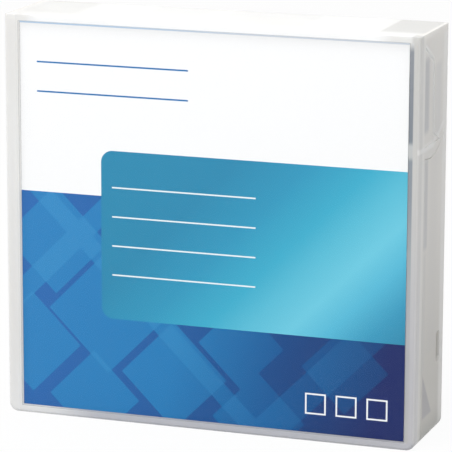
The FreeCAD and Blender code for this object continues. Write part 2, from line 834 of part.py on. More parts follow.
def add_memory_posts(shell):
    """Two short slanted posts, one each side of the memory board, on the shell floor."""
    apart = (d.memory_thickness / 2 + d.cartridge_gap) * math.sqrt(0.5)
    half = d.memory_post_length / 2
    for side in (-1, 1):
        x = memory_x + apart * side
        z = memory_z + apart * side
        step = d.memory_post_width * side
        post = [(x - half, z + half), (x + half, z - half),
                (x + half + step, z - half + step), (x - half + step, z + half + step)]
        grow(shell, "Y", inner_back - d.memory_height / 2, inner_back, post)


def make_upper_shell():
    """Plain half, at the front: screw posts, square brake post and a spring seat."""
    shell = shell_blank("upper_shell", cart_front, cart_mid, inner_front, cart_mid, cart_front)
    for x, z in screw_places:
        grow(shell, "Y", inner_front, cart_mid, disc(x, z, boss_radius))
        hole = disc(x, z, d.screw_radius + d.screw_fit)
        carve(shell, "Y", screw_tip - d.cartridge_gap, cart_mid, hole)
    half = d.brake_post_side / 2
    post = rectangle(-half, reel_z - half, half, reel_z + half)
    grow(shell, "Y", inner_front, brake_bore_end - d.brake_post_tip_gap, post)
    cut_side_features(
        shell,
        (cart_mid - d.door_window_height / 2, cart_mid),
        (cart_front + d.shell_edge_chamfer * 2, cart_mid),
        (cart_front + d.label_margin, cart_mid),
    )
    panel_half = cart_half - d.face_recess_margin
    panel_low, panel_high = reel_z + d.face_recess_rise, cart_top - d.face_recess_rise
    panel = rectangle(-panel_half, panel_low, panel_half, panel_high)
    carve(shell, "Y", cart_front, cart_front + d.face_recess, panel)
    return shell


def make_shell_screws():
    """Four self-tapping screws with slotted heads."""
    screws = new_body("shell_screws")
    heads = [disc(x, z, d.screw_head_radius) for x, z in screw_places]
    shanks = [disc(x, z, d.screw_radius) for x, z in screw_places]
    grow(screws, "Y", head_seat, head_outer, *heads)
    grow(screws, "Y", screw_tip, head_seat, *shanks)
    wide, thin = d.screw_slot_length / 2, d.screw_slot_width / 2
    slots = [rectangle(x - wide, z - thin, x + wide, z + thin) for x, z in screw_places]
    carve(screws, "Y", head_outer - d.screw_slot_depth, head_outer, *slots)
    return screws


def make_rear_label():
    """The paper label in the recess across the rear face."""
    label = new_body("rear_label")
    gap = d.label_inset
    floor = cart_top - d.label_recess
    outline = rectangle(
        label_start + gap, cart_front + d.label_margin + gap,
        label_end - gap, cart_back - d.label_margin - gap,
    )
    grow(label, "Z", floor, floor + d.label_thickness, outline)
    return label


def make_write_protect_tab():
    """Sliding tab: a ridged thumb block in the slot, on a wider base behind the wall."""
    tab = new_body("write_protect_tab")
    gap = d.protect_side_gap
    base_end = thumb_end + d.protect_base_extra
    grow(tab, "Z", base_bottom, base_top, rectangle(thumb_start, base_low, base_end, base_high))
    thumb = rectangle(thumb_start, protect_low + gap, thumb_end, protect_high - gap)
    grow(tab, "Z", base_top, thumb_top, thumb)
    ridge = d.protect_thumb_length / 7
    grooves = [
        rectangle(thumb_start + ridge * k, protect_low + gap, thumb_start + ridge * (k + 1),
                  protect_high - gap)
        for k in (1, 3, 5)
    ]
    carve(tab, "Z", thumb_top - d.protect_groove_depth, thumb_top, *grooves)
    return tab


def make_memory_board():
    """Small circuit board at 45 degrees in the rear corner, with its chip."""
    board = doc.addObject("Part::Box", "memory_card")
    chip = doc.addObject("Part::Box", "memory_chip")
    half = d.memory_length / 2
    for prop, value in (("Length", d.memory_length), ("Width", d.memory_height),
                        ("Height", d.memory_thickness)):
        board.setExpression(prop, value.formula)
    for prop, value in (("Length", d.memory_length / 3), ("Width", d.memory_height / 3),
                        ("Height", d.memory_thickness / 2)):
        chip.setExpression(prop, value.formula)
    board.setExpression("Placement.Base.x", (-half).formula)
    board.setExpression("Placement.Base.z", (-d.memory_thickness / 2).formula)
    chip.setExpression("Placement.Base.x", (-half / 3).formula)
    chip.setExpression("Placement.Base.y", (d.memory_height / 10).formula)
    chip.setExpression("Placement.Base.z", (d.memory_thickness / 2).formula)
    whole = doc.addObject("Part::Fuse", "memory_board")
    whole.Base = board
    whole.Tool = chip
    whole.Placement.Rotation = FreeCAD.Rotation(FreeCAD.Vector(0, 1, 0), 45)
    whole.setExpression("Placement.Base.x", memory_x.formula)
    low = inner_back - d.cartridge_gap - d.memory_height
    whole.setExpression("Placement.Base.y", low.formula)
    whole.setExpression("Placement.Base.z", memory_z.formula)
    whole.Label = "memory_board"
    made.append(whole)
    return whole


# ---------------------------------------------------------------- reel


def make_reel_hub():
    """Hub, drive-side flange, drive teeth outside and lock teeth inside, in one moulding."""
    hub = new_body("reel_hub", z=reel_z)
    grow(hub, "Y", flange_inner_face, flange_outer_face, disc(0, 0, flange_radius))
    grow(hub, "Y", cap_inner_face, flange_inner_face, disc(0, 0, d.hub_radius))
    grow(
        hub, "Y", flange_outer_face, flange_outer_face + d.drive_rim_height,
        disc(0, 0, rim_outer), disc(0, 0, rim_inner),
    )
    carve(hub, "Y", cap_inner_face, hub_floor_inside, disc(0, 0, hub_cavity_radius))
    leg_holes = leg_discs(d.release_leg_radius + d.release_leg_fit)
    carve(hub, "Y", hub_floor_inside, flange_outer_face, *leg_holes)
    half = d.drive_tooth_base / 2
    outside = [
        (flange_outer_face, -half), (flange_outer_face, half),
        (flange_outer_face + d.drive_tooth_height, size_of(0)),
    ]
    tooth = grow(hub, "X", drive_tooth_inner, drive_tooth_outer, outside)
    around(hub, tooth, d.drive_tooth_count)
    half = d.lock_tooth_base / 2
    inside = [
        (hub_floor_inside, -half), (hub_floor_inside, half),
        (hub_floor_inside - d.lock_tooth_height, size_of(0)),
    ]
    tooth = grow(hub, "X", lock_tooth_inner, lock_tooth_outer, inside)
    around(hub, tooth, d.lock_tooth_count)
    return hub


def make_reel_upper_flange():
    """The plain flange welded to the open end of the hub."""
    flange = new_body("reel_upper_flange", z=reel_z)
    grow(
        flange, "Y", cap_outer_face, cap_inner_face,
        disc(0, 0, flange_radius), disc(0, 0, hub_cavity_radius),
    )
    return flange


def make_drive_plate():
    """Steel plate that the drive's magnet pulls."""
    plate = new_body("drive_plate", z=reel_z)
    grow(
        plate, "Y", flange_outer_face, flange_outer_face + d.drive_plate_thickness,
        disc(0, 0, drive_plate_outer), disc(0, 0, drive_plate_inner),
    )
    return plate


def make_tape_pack():
    """The wound tape as one ring."""
    pack = new_body("tape_pack", z=reel_z)
    grow(
        pack, "Y", tape_low, tape_high,
        disc(0, 0, pack_radius), disc(0, 0, d.hub_radius + d.pack_fit),
    )
    return pack


def make_brake_gear():
    """Lock ring that can slide on the shell's square post but can't turn."""
    brake = new_body("brake_gear", z=reel_z)
    half_pitch = f"180 / {d.lock_tooth_count.formula}"
    brake.Placement.Rotation = FreeCAD.Rotation(FreeCAD.Vector(0, 1, 0), 0.01)
    brake.setExpression("Placement.Rotation.Angle", half_pitch)
    grow(brake, "Y", brake_rear, brake_face, disc(0, 0, brake_disc_radius))
    sleeve_end = brake_rear - d.brake_sleeve_length
    grow(brake, "Y", sleeve_end, brake_rear, disc(0, 0, d.brake_sleeve_radius))
    half = d.brake_post_side / 2 + d.brake_post_fit
    carve(brake, "Y", sleeve_end, brake_bore_end, rectangle(-half, -half, half, half))
    half = d.lock_tooth_base / 2
    tooth_outline = [
        (brake_face, -half), (brake_face, half),
        (brake_face + d.lock_tooth_height, size_of(0)),
    ]
    tooth = grow(brake, "X", lock_tooth_inner, lock_tooth_outer, tooth_outline)
    around(brake, tooth, d.lock_tooth_count)
    return brake


def make_brake_spring():
    """Compression spring that holds the lock ring in mesh."""
    spring = new_body("brake_spring", y=inner_front + d.spring_end_gap, z=reel_z)
    height = brake_rear - inner_front - d.spring_end_gap * 2
    coil(spring, "Y", brake_spring_radius, d.brake_spring_wire, height, d.brake_spring_turns)
    return spring


def make_release_pad():
    """Pad inside the hub whose three legs reach out through the hub floor."""
    pad = new_body("release_pad", z=reel_z)
    grow(pad, "Y", pad_rear, pad_face, disc(0, 0, release_pad_radius))
    legs = leg_discs(d.release_leg_radius)
    grow(pad, "Y", pad_face, pad_face + d.release_leg_length, *legs)
    return pad


# ---------------------------------------------------------------- door and leader


def make_access_door():
    """Side door that slides rearward and uncovers the leader pin."""
    door = new_body("access_door")
    reach = d.door_window_height / 2 + d.door_overlap / 2
    plate = rectangle(door_inner, cart_mid - reach, door_outer, cart_mid + reach)
    grow(door, "Z", door_low, door_high, plate)
    window_low = cart_bottom + d.door_window_start
    step = d.door_window_length / (d.door_grip_count * 2 + 1)
    grooves = []
    for i in range(int(d.door_grip_count.number)):
        z = window_low + step * (2 * i + 1)
        half = reach - d.door_grip_margin
        grooves.append(rectangle(cart_mid - half, z, cart_mid + half, z + step))
    carve(door, "X", door_outer - d.door_grip_depth, door_outer, *grooves)
    return door


def make_door_spring():
    """Long thin spring that pushes the door shut."""
    spring = new_body(
        "door_spring", x=door_spring_x, y=cart_mid, z=door_high + d.spring_end_gap
    )
    coil(spring, "Z", d.door_spring_radius, d.door_spring_wire, d.door_spring_length,
         d.door_spring_turns)
    return spring


def make_leader_pin():
    """Steel pin with a flange at each end, which the drive grabs."""
    pin = new_body("leader_pin", x=pin_x, z=pin_z)
    thick = d.leader_flange_thickness
    grow(pin, "Y", pin_low, pin_high, disc(0, 0, d.leader_pin_radius))
    grow(pin, "Y", pin_low, pin_low + thick, disc(0, 0, d.leader_flange_radius))
    grow(pin, "Y", pin_high - thick, pin_high, disc(0, 0, d.leader_flange_radius))
    return pin


def make_leader_clamp():
    """Plastic C-shaped clip that holds the end of the tape on the pin."""
    clamp = new_body("leader_clamp", x=pin_x, z=pin_z)
    grow(clamp, "Y", tape_low, tape_high, disc(0, 0, clamp_outer), disc(0, 0, clamp_inner))
    mouth = rectangle(0, -d.clamp_slot / 2, clamp_outer * 2, d.clamp_slot / 2)
    carve(clamp, "Y", tape_low, tape_high, mouth)
    return clamp


def make_leader_tape():
    """The straight run of tape from the pack to the pin."""
    tape = new_body("leader_tape")
    upper = reel_z - pack_radius - d.leader_gap
    end = pin_x - clamp_outer - d.clamp_fit
    run = rectangle(0, upper - d.leader_thickness, end, upper)
    grow(tape, "Y", tape_low, tape_high, run)
    return tape


def make_pin_springs():
    """Two bent leaf springs that hold the pin's flanges in their seats."""
    springs = new_body("pin_springs")
    t = d.leaf_thickness
    right = pin_x - d.leader_flange_radius - d.leader_pin_gap
    left = right - d.leaf_length
    low = inner_bottom + d.cartridge_gap
    bend = low + d.leaf_bend
    knee = pin_z - d.leaf_knee_drop
    tip = pin_z + d.leaf_tip_rise
    leaf = [
        (left, low), (right, low), (right, low + t), (left + t, low + t), (left + t, bend),
        (right - t, knee), (right - t, tip), (right - t * 2, tip), (right - t * 2, knee + t),
        (left, bend + t),
    ]
    grow(springs, "Y", pin_low, pin_low + d.leaf_width, leaf)
    grow(springs, "Y", pin_high - d.leaf_width, pin_high, leaf)
    return springs


# ---------------------------------------------------------------- build, check, write


def main():
    make_case_lid()
    make_case_tray()
    make_insert_card()
    make_lower_shell()
    make_upper_shell()
    make_shell_screws()
    make_rear_label()
    make_write_protect_tab()
    make_memory_board()
    make_reel_hub()
    make_reel_upper_flange()
    make_drive_plate()
    make_tape_pack()
    make_brake_gear()
    make_brake_spring()
    make_release_pad()
    make_access_door()
    make_door_spring()
    make_leader_pin()
    make_leader_clamp()
    make_leader_tape()
    make_pin_springs()
    doc.recompute()
    for item in doc.Objects:
        if {"Invalid", "Error"} & set(item.State):
            raise RuntimeError(f"{item.Name} failed: {item.State}")
    for part in made:
        if part.Shape.isNull() or not part.Shape.isValid():
            raise RuntimeError(f"{part.Label} has no valid shape")
    os.makedirs("parts", exist_ok=True)
    for part in made:
        part.Shape.exportStep(f"parts/{part.Label}.step")
        print(part.Label, len(part.Shape.Solids), round(part.Shape.Volume, 1))


main()
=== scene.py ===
"""The looks of a data tape cartridge in its closed moulded case, with a printed card in the lid."""

import math

import bpy
from mathutils import Matrix, Vector


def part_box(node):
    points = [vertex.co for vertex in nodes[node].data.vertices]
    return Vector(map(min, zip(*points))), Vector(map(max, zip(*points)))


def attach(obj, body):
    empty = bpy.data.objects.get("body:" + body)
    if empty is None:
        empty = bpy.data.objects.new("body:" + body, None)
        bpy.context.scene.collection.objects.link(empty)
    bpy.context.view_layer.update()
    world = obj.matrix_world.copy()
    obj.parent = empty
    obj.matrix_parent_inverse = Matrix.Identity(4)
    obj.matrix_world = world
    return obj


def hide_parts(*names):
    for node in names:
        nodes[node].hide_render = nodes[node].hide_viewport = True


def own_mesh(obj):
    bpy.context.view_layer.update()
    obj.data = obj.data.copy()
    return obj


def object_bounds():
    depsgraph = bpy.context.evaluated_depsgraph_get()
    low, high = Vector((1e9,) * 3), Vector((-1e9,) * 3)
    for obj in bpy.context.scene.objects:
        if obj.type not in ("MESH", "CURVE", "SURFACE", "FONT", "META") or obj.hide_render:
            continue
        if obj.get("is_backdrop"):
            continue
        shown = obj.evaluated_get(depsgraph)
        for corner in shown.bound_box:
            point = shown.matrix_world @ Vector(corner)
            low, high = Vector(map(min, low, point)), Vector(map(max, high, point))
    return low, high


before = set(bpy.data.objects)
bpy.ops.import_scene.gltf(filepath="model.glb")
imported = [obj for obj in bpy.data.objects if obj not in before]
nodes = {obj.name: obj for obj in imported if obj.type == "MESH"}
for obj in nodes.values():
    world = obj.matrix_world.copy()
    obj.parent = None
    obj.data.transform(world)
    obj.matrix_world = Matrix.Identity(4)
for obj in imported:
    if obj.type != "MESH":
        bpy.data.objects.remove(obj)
cad_low, cad_high = (Vector(corner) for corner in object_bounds())

MM = 0.001


# ------------------------------------------------------------------ node trees: short calls that add nodes

def linear(red, green, blue):
    """A screen colour of 0 to 255 as the linear colour that shaders take."""
    def channel(value):
        share = value / 255
        return share / 12.92 if share <= 0.04045 else ((share + 0.055) / 1.055) ** 2.4
    return (channel(red), channel(green), channel(blue), 1.0)


WHITE = linear(255, 255, 255)


class Nodes:
    """A node tree, with short calls that add nodes to it and join them."""

    def __init__(self, tree):
        self.tree = tree

    def add(self, kind, inputs=None, **settings):
        """A node with its settings, and with values or other nodes' outputs in its named inputs."""
        node = self.tree.nodes.new(kind)
        for key, value in settings.items():
            setattr(node, key, value)
        for name, source in (inputs or {}).items():
            self.join(source, node.inputs[name])
        return node

    def join(self, source, target):
        """Puts a value or another node's output into a socket."""
        if isinstance(source, bpy.types.NodeSocket):
            self.tree.links.new(source, target)
        else:
            target.default_value = source

    def calc(self, operation, first, second=0.0, third=0.0):
        """One step of arithmetic."""
        node = self.add("ShaderNodeMath", operation=operation)
        for socket, value in zip(node.inputs, (first, second, third)):
            self.join(value, socket)
        return node.outputs[0]

    def fold(self, operation, values):
        """Many values brought to one by the same operation, in order."""
        total = values[0]
        for value in values[1:]:
            total = self.calc(operation, total, value)
        return total

    def all_of(self, *masks):
        return self.fold("MULTIPLY", masks)

    def any_of(self, *masks):
        return self.fold("MAXIMUM", masks)


class Finish(Nodes):
    """One procedural material: a Principled skin, and short calls for masks, colours and bump."""

    def __init__(self, name, colour, roughness, metallic=0.0, **constants):
        self.material = bpy.data.materials.new(name)
        self.material.use_nodes = True
        super().__init__(self.material.node_tree)
        self.skin = self.tree.nodes["Principled BSDF"]
        self.set("Base Color", colour)
        self.set("Roughness", roughness)
        self.set("Metallic", metallic)
        for socket, value in constants.items():
            self.set(socket.replace("_", " "), value)
        self.place = self.add("ShaderNodeTexCoord").outputs["Object"]
        self.x, self.y, self.z = self.add("ShaderNodeSeparateXYZ", {"Vector": self.place}).outputs

    def set(self, socket, value):
        self.join(value, self.skin.inputs[socket])

    def step(self, value, low, high):
        """0 below low, 1 above high, smooth between."""
        node = self.add("ShaderNodeMapRange", {"Value": value, "From Min": low, "From Max": high},
                        interpolation_type="SMOOTHSTEP")
        return node.outputs[0]

    def between(self, value, low, high, edge):
        """1 from low to high, fading to 0 over the edge's width on each side."""
        rise = self.step(value, low - edge, low + edge)
        fall = self.step(value, high - edge, high + edge)
        return self.calc("SUBTRACT", rise, fall)

    def turned(self, value):
        """1 for 0, and 0 for 1."""
        return self.calc("SUBTRACT", 1.0, value)

    def tint(self, share, first, second):
        """A colour that goes from the first to the second as share goes from 0 to 1."""
        node = self.add("ShaderNodeMix", data_type="RGBA")
        colours = [socket for socket in node.inputs if socket.type == "RGBA"]
        for socket, value in zip([node.inputs[0]] + colours, (share, first, second)):
            self.join(value, socket)
        return [socket for socket in node.outputs if socket.type == "RGBA"][0]

    def painted(self, colour, layers):
        """A colour with layers of mask and tone laid over it, in order."""
        for mask, tone in layers:
            colour = self.tint(mask, colour, tone)
        return colour

    def amount(self, share, low, high):
        """A number between low and high, never past either."""
        return self.add("ShaderNodeMapRange", {"Value": share, "To Min": low, "To Max": high}).outputs[0]

    def pick(self, share, first, second):
        """A number that goes from the first to the second as share goes from 0 to 1."""
        node = self.add("ShaderNodeMix", data_type="FLOAT")
        for socket, value in zip(node.inputs[:1] + node.inputs[2:4], (share, first, second)):
            self.join(value, socket)
        return node.outputs[0]

    def ramp(self, share, stops, convert=linear):
        """A colour that runs through stops, each a place from 0 to 1 and a screen colour."""
        node = self.add("ShaderNodeValToRGB")
        elements = node.color_ramp.elements
        while len(elements) < len(stops):
            elements.new(0.5)
        for element, (position, tone) in zip(elements, stops):
            element.position = position
            element.color = convert(*tone)
        self.join(share, node.inputs[0])
        return node.outputs[0]

    def stretched(self, *factors):
        """Places scaled along x, y and z, which draws a texture out along the small ones."""
        node = self.add("ShaderNodeMapping", {"Vector": self.place, "Scale": factors})
        return node.outputs[0]

    def noise(self, grain, detail=2.0, vector=None, roughness=0.5):
        """Cloudy noise whose lumps are about one grain across, in metres."""
        node = self.add("ShaderNodeTexNoise", {"Vector": vector or self.place, "Scale": 1 / grain,
                                               "Detail": detail, "Roughness": roughness})
        return node.outputs["Fac"]

    def relief(self, height, depth, strength):
        """Bump of the given depth in metres."""
        node = self.add("ShaderNodeBump", {"Strength": strength, "Distance": depth, "Height": height})
        self.set("Normal", node.outputs[0])


def dress(finish, *names):
    """Gives a finish to CAD nodes, through their own material slots."""
    for name in names:
        for slot in nodes[name].material_slots:
            slot.material = finish.material


# ------------------------------------------------------------------ the case

CARD_LOW, CARD_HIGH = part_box("insert_card")
CASE_WALL = 1.3 * MM
SIDE_FROM = 56.0 * MM            # how far from the middle the front rim's tones give way to the side's
BOARD_HALF_THICKNESS = 0.4 * MM

# The dark strips, dark lines and the wedge are painted shade; the light strips and light lines are painted
# light.
# Soft shades painted on the case's sides. Scattering in the plastic doesn't produce them.
# In millimetres: depth counts from the front and height from the foot.
# A strip: depths from and to, heights from and to, soft edge, weight.
DARK_STRIPS = (((4.9, 9.6), (84, 103.5), 1.3, 0.85), ((14.6, 20.5), (82, 101), 2.0, 0.35),
               ((5.6, 8.8), (53, 77), 1.0, 0.7), ((5.6, 8.0), (20, 52), 1.4, 0.3),
               ((10, 19), (24, 77), 3.0, 0.15))
LIGHT_STRIPS = (((22.6, 28), (2, 108), 1.4, 0.5), ((0, 5.0), (1, 109), 1.0, 0.35))
STRIP_END = 1.2
# A line: start and end as depth and height, half width, weight.
DARK_LINES = (((5.6, 53), (5.6, 78), 0.25, 0.5),)
LIGHT_LINES = (((5, 106.8), (13, 102.1), 0.7, 0.9), ((13, 102.1), (14.4, 82.6), 0.6, 0.8),
               ((14.4, 82.6), (19.5, 80.2), 0.6, 0.7), ((0, 80), (14, 80), 0.9, 0.8),
               ((14, 80), (24, 84.5), 0.8, 0.6))
LINE_END = 0.3
# The wedge: a direction square to its slant, a place on the slant, and the soft edges of its three sides.
WEDGE_ACROSS, WEDGE_PLACE = (10.4, 7.75), (8.6, 16.2)
WEDGE_SLANT_EDGE, WEDGE_FRONT_EDGE, WEDGE_FOOT_EDGE = (-0.4, 0.6), (6.2, 7.4), (6.3, 7.4)
WEDGE_WEIGHT = 0.9

# The painted shade on the gap beside the card, lighter in one narrow band, by height as a share of the
# case's.
GAP_SHADE_TONES = ((0.0, (192, 191, 190)), (0.32, (183, 184, 188)), (0.46, (171, 178, 181)),
             (0.60, (152, 159, 167)), (0.706, (150, 157, 165)), (0.716, (198, 200, 199)),
             (0.742, (196, 198, 199)), (0.752, (138, 145, 153)), (0.965, (150, 154, 161)),
             (0.985, (222, 222, 221)))


def side_shades(finish):
    """Shades painted on the case's sides, not cast by anything: dark, light and low wedge masks."""
    depth = finish.calc("SUBTRACT", finish.y, cad_low.y)
    outer_skin = cad_high.x - 0.5 * CASE_WALL
    beside = finish.step(finish.calc("ABSOLUTE", finish.x), outer_skin, outer_skin + 0.2 * MM)

    def strip(depths, heights, edge, weight):
        """A soft upright strip."""
        across = finish.between(depth, depths[0] * MM, depths[1] * MM, edge * MM)
        up = finish.between(finish.z, heights[0] * MM, heights[1] * MM, STRIP_END * MM)
        return finish.all_of(across, up, weight)

    def along(direction, offset_depth, offset_height):
        """How far two offsets reach along a direction."""
        return finish.calc("ADD", finish.calc("MULTIPLY", offset_depth, direction[0]),
                           finish.calc("MULTIPLY", offset_height, direction[1]))

    def line(start, end, half_width, weight):
        """A soft straight line between two places."""
        run = Vector((end[0] - start[0], end[1] - start[1]))
        way = run.normalized()
        offsets = (finish.calc("SUBTRACT", depth, start[0] * MM),
                   finish.calc("SUBTRACT", finish.z, start[1] * MM))
        within = finish.between(along(way, *offsets), 0, run.length * MM, LINE_END * MM)
        aside = finish.calc("ABSOLUTE", along((-way.y, way.x), *offsets))
        core = finish.turned(finish.step(aside, 0.3 * half_width * MM, 1.5 * half_width * MM))
        return finish.all_of(within, core, weight)

    def wedge():
        """A soft three-cornered shade low on the side, upright towards the front."""
        across = Vector(WEDGE_ACROSS).normalized()
        reach = across.dot(WEDGE_PLACE)
        slant_edge = [(reach + edge) * MM for edge in WEDGE_SLANT_EDGE]
        slant = finish.step(along(across, depth, finish.z), *slant_edge)
        return finish.all_of(finish.turned(slant),
                             finish.step(depth, *(edge * MM for edge in WEDGE_FRONT_EDGE)),
                             finish.step(finish.z, *(edge * MM for edge in WEDGE_FOOT_EDGE)), WEDGE_WEIGHT)

    # Painted shade in the dark masks and the wedge, painted light in the light masks.
    dark = [strip(*row) for row in DARK_STRIPS] + [line(*row) for row in DARK_LINES]
    light = [strip(*row) for row in LIGHT_STRIPS] + [line(*row) for row in LIGHT_LINES]
    return [finish.all_of(finish.any_of(*masks), beside) for masks in (dark, light, [wedge()])]


def rim_shades(finish, colour, front_skin):
    """Tones painted on the rims round the window, the sides and the roof, over the plain colour."""
    near_front = finish.turned(finish.step(finish.y, cad_low.y + 2 * MM, cad_low.y + 4.5 * MM))
    to_right = finish.step(finish.x, CARD_HIGH.x + 0.6 * MM, SIDE_FROM)
    right_rim = finish.tint(finish.step(finish.z, 20 * MM, 80 * MM), linear(197, 196, 199),
                            linear(209, 208, 205))
    above = finish.all_of(front_skin, finish.step(finish.z, CARD_HIGH.z - 0.3 * MM, CARD_HIGH.z),
                          finish.between(finish.x, -50 * MM, 48 * MM, 3 * MM))
    below = finish.all_of(front_skin, finish.turned(finish.step(finish.z, 1.8 * MM, 2.6 * MM)))
    below_right = finish.all_of(below, finish.step(finish.x, -50 * MM, -30 * MM))
    side = finish.all_of(finish.turned(near_front),
                         finish.step(finish.calc("ABSOLUTE", finish.x), SIDE_FROM, SIDE_FROM + 0.4 * MM))
    low = finish.turned(finish.step(finish.z, 4 * MM, 72 * MM))
    foot = finish.turned(finish.step(finish.z, 0.0, 9 * MM))
    roof = finish.step(finish.z, cad_high.z - 0.6 * MM, cad_high.z - 0.2 * MM)
    deep = finish.step(finish.y, cad_low.y + 4 * MM, cad_low.y + 9 * MM)
    left_patch = finish.between(finish.x, -56 * MM, -40 * MM, 2 * MM)
    right_end = finish.between(finish.x, 45 * MM, cad_high.x - 0.9 * MM, 0.6 * MM)
    blocks = finish.any_of(finish.between(finish.x, -23 * MM, -7 * MM, 1.5 * MM),
                           finish.between(finish.x, -1 * MM, 24 * MM, 1.5 * MM))
    # Painted light whiter above the card; painted shade on the right rim, darker lower down, below the card,
    # low on the sides, at the foot and in grey patches on the roof; the sides a little warmer.
    return finish.painted(colour, [
        (finish.all_of(near_front, to_right), right_rim),
        (above, WHITE),
        (below_right, linear(192, 192, 197)),
        (finish.all_of(side, 0.7), linear(237, 233, 227)),
        (finish.all_of(side, low), linear(206, 203, 197)),
        (finish.all_of(side, foot, 0.8), linear(178, 177, 172)),
        (finish.all_of(roof, left_patch, deep, 0.7), linear(218, 217, 214)),
        (finish.all_of(roof, right_end, deep), linear(208, 207, 204)),
        (finish.all_of(roof, blocks, deep, 0.35), linear(218, 217, 216))])


def case_plastic():
    """Milky polypropylene: spark-etched outside, polished clear over the card."""
    milk, warm = linear(236, 236, 234), linear(230, 228, 225)
    # glow is painted light; shade and low_shade are painted shade, for the sides.
    glow, shade, low_shade = linear(252, 251, 249), linear(196, 197, 201), linear(174, 172, 176)
    clear_tone = linear(150, 152, 156)
    clear_alpha, gap_alpha, frosted_alpha = 0.012, 0.88, 0.97
    inward_share = 0.35
    finish = Finish("case_polypropylene", milk, 0.45, IOR=1.49, Specular_IOR_Level=0.5)
    over_card = finish.between(finish.x, CARD_LOW.x + 0.6 * MM, CARD_HIGH.x + 0.5 * MM, 0.12 * MM)
    over_gap = finish.between(finish.x, CARD_LOW.x + 0.6 * MM, SIDE_FROM, 0.12 * MM)
    between_ends = finish.between(finish.z, CARD_LOW.z + 0.4 * MM, CARD_HIGH.z + 0.1 * MM, 0.12 * MM)
    front_skin = finish.turned(
        finish.step(finish.y, cad_low.y + CASE_WALL, cad_low.y + CASE_WALL + 0.1 * MM))
    window = finish.all_of(over_card, between_ends, front_skin)
    border = finish.all_of(over_gap, between_ends, front_skin)
    flow = finish.noise(26 * MM, 3, finish.stretched(1.0, 1.0, 0.25))
    etch = finish.noise(0.22 * MM, 2)
    dark, light, low_wedge = side_shades(finish)
    plain = finish.tint(finish.step(flow, 0.35, 0.7), milk, warm)
    gap_shade = finish.ramp(finish.calc("DIVIDE", finish.z, cad_high.z), GAP_SHADE_TONES)
    # The base colour: the milky plastic, with painted light and painted shade over it on the rims, sides and
    # roof, and painted shade in the gap beside the card.
    finish.set("Base Color", finish.painted(rim_shades(finish, plain, front_skin), [
        (light, glow), (dark, shade), (low_wedge, low_shade), (border, gap_shade), (window, clear_tone)]))
    frosted = finish.amount(flow, 0.8, 0.9)
    by_card = finish.all_of(front_skin, finish.step(finish.x, cad_low.x + 3 * MM, CARD_LOW.x))
    frosted = finish.pick(finish.all_of(front_skin, finish.turned(by_card)), frosted, frosted_alpha)
    alpha = finish.pick(window, finish.pick(border, frosted, gap_alpha), clear_alpha)
    rays = finish.add("ShaderNodeLightPath")
    inward = finish.any_of(rays.outputs["Is Shadow Ray"], rays.outputs["Is Diffuse Ray"])
    finish.set("Alpha", finish.calc("MULTIPLY", alpha, finish.amount(inward, 1.0, inward_share)))
    finish.set("Roughness", finish.amount(window, 0.42, 0.1))
    finish.set("Subsurface Weight", 0.4)
    finish.set("Subsurface Radius", (3 * MM, 2.9 * MM, 2.7 * MM))
    finish.set("Subsurface Scale", 1.0)
    finish.relief(finish.all_of(etch, finish.turned(window)), 0.02 * MM, 0.5)
    return finish


# ------------------------------------------------------------------ the printed card

BLUE_TOP = 62.0 * MM
PANEL_LEFT, PANEL_BOTTOM, PANEL_TOP = -30.7 * MM, 28.3 * MM, 74.5 * MM
PANEL_CORNER = 3.3 * MM
PANEL_SWEEP = 131 * MM
WINDOW_VEIL, INK_GAIN, LEAST_INK = 0.02, 1.05, 0.001

# Printed tones along a sweep from 0 to 1.
GROUND_TONES = ((0.0, (56, 112, 180)), (0.38, (49, 101, 165)), (0.72, (37, 80, 137)), (1.0, (43, 54, 106)))
FIGURE_TONES = ((0.0, (57, 134, 193)), (0.45, (49, 128, 186)), (0.72, (36, 96, 154)), (1.0, (39, 72, 124)))
CROSSING_TONES = ((0.0, (64, 143, 199)), (0.45, (56, 137, 192)), (0.72, (42, 108, 166)),
                  (1.0, (41, 82, 134)))
PANEL_TONES = ((0.30, (56, 141, 178)), (0.45, (60, 155, 191)), (0.58, (70, 176, 206)),
               (0.66, (95, 192, 217)), (0.75, (114, 205, 227)), (0.83, (93, 189, 218)),
               (0.92, (68, 158, 193)), (1.0, (60, 143, 177)))

# Printed figures, in millimetres. A diamond: x, z, reach. A band: x, z, half width, slope.
DIAMONDS = ((-44, 49, 15), (-29, 30, 17), (-51, 20, 14), (-33, 6, 13),
            (-10, 14, 15), (9, 24, 12), (14, 4, 13), (38, 20, 12))
BANDS = ((-55, 33, 4, 1.0), (27, 12, 6, 1.0), (-12, 26, 3.5, -1.0))
# Writing lines: from x, to x, heights, half width. A tick box: x, z, half side, line.
TITLE_LINES = (-49, -6, (97.4, 89.4), 0.22)
PANEL_LINES = (-27.6, 13, (64.5, 56.5, 48.5, 40.5), 0.2)
TICK_BOXES = ((30, 10, 2.9, 0.45), (38.5, 10, 2.9, 0.45), (47, 10, 2.9, 0.45))


def away(finish, x, z):
    """How far each place on the card lies from a point in millimetres, across and up."""
    return (finish.calc("ABSOLUTE", finish.calc("SUBTRACT", finish.x, x * MM)),
            finish.calc("ABSOLUTE", finish.calc("SUBTRACT", finish.z, z * MM)))


def diamond(finish, x, z, reach):
    """A square on its corner."""
    return finish.calc("LESS_THAN", finish.calc("ADD", *away(finish, x, z)), reach * MM)


def band(finish, x, z, half_width, slope):
    """A slanted stripe through a point."""
    along = finish.calc("MULTIPLY", finish.calc("SUBTRACT", finish.x, x * MM), slope)
    off = finish.calc("SUBTRACT", finish.calc("SUBTRACT", finish.z, z * MM), along)
    return finish.calc("LESS_THAN", finish.calc("ABSOLUTE", off), half_width * MM)


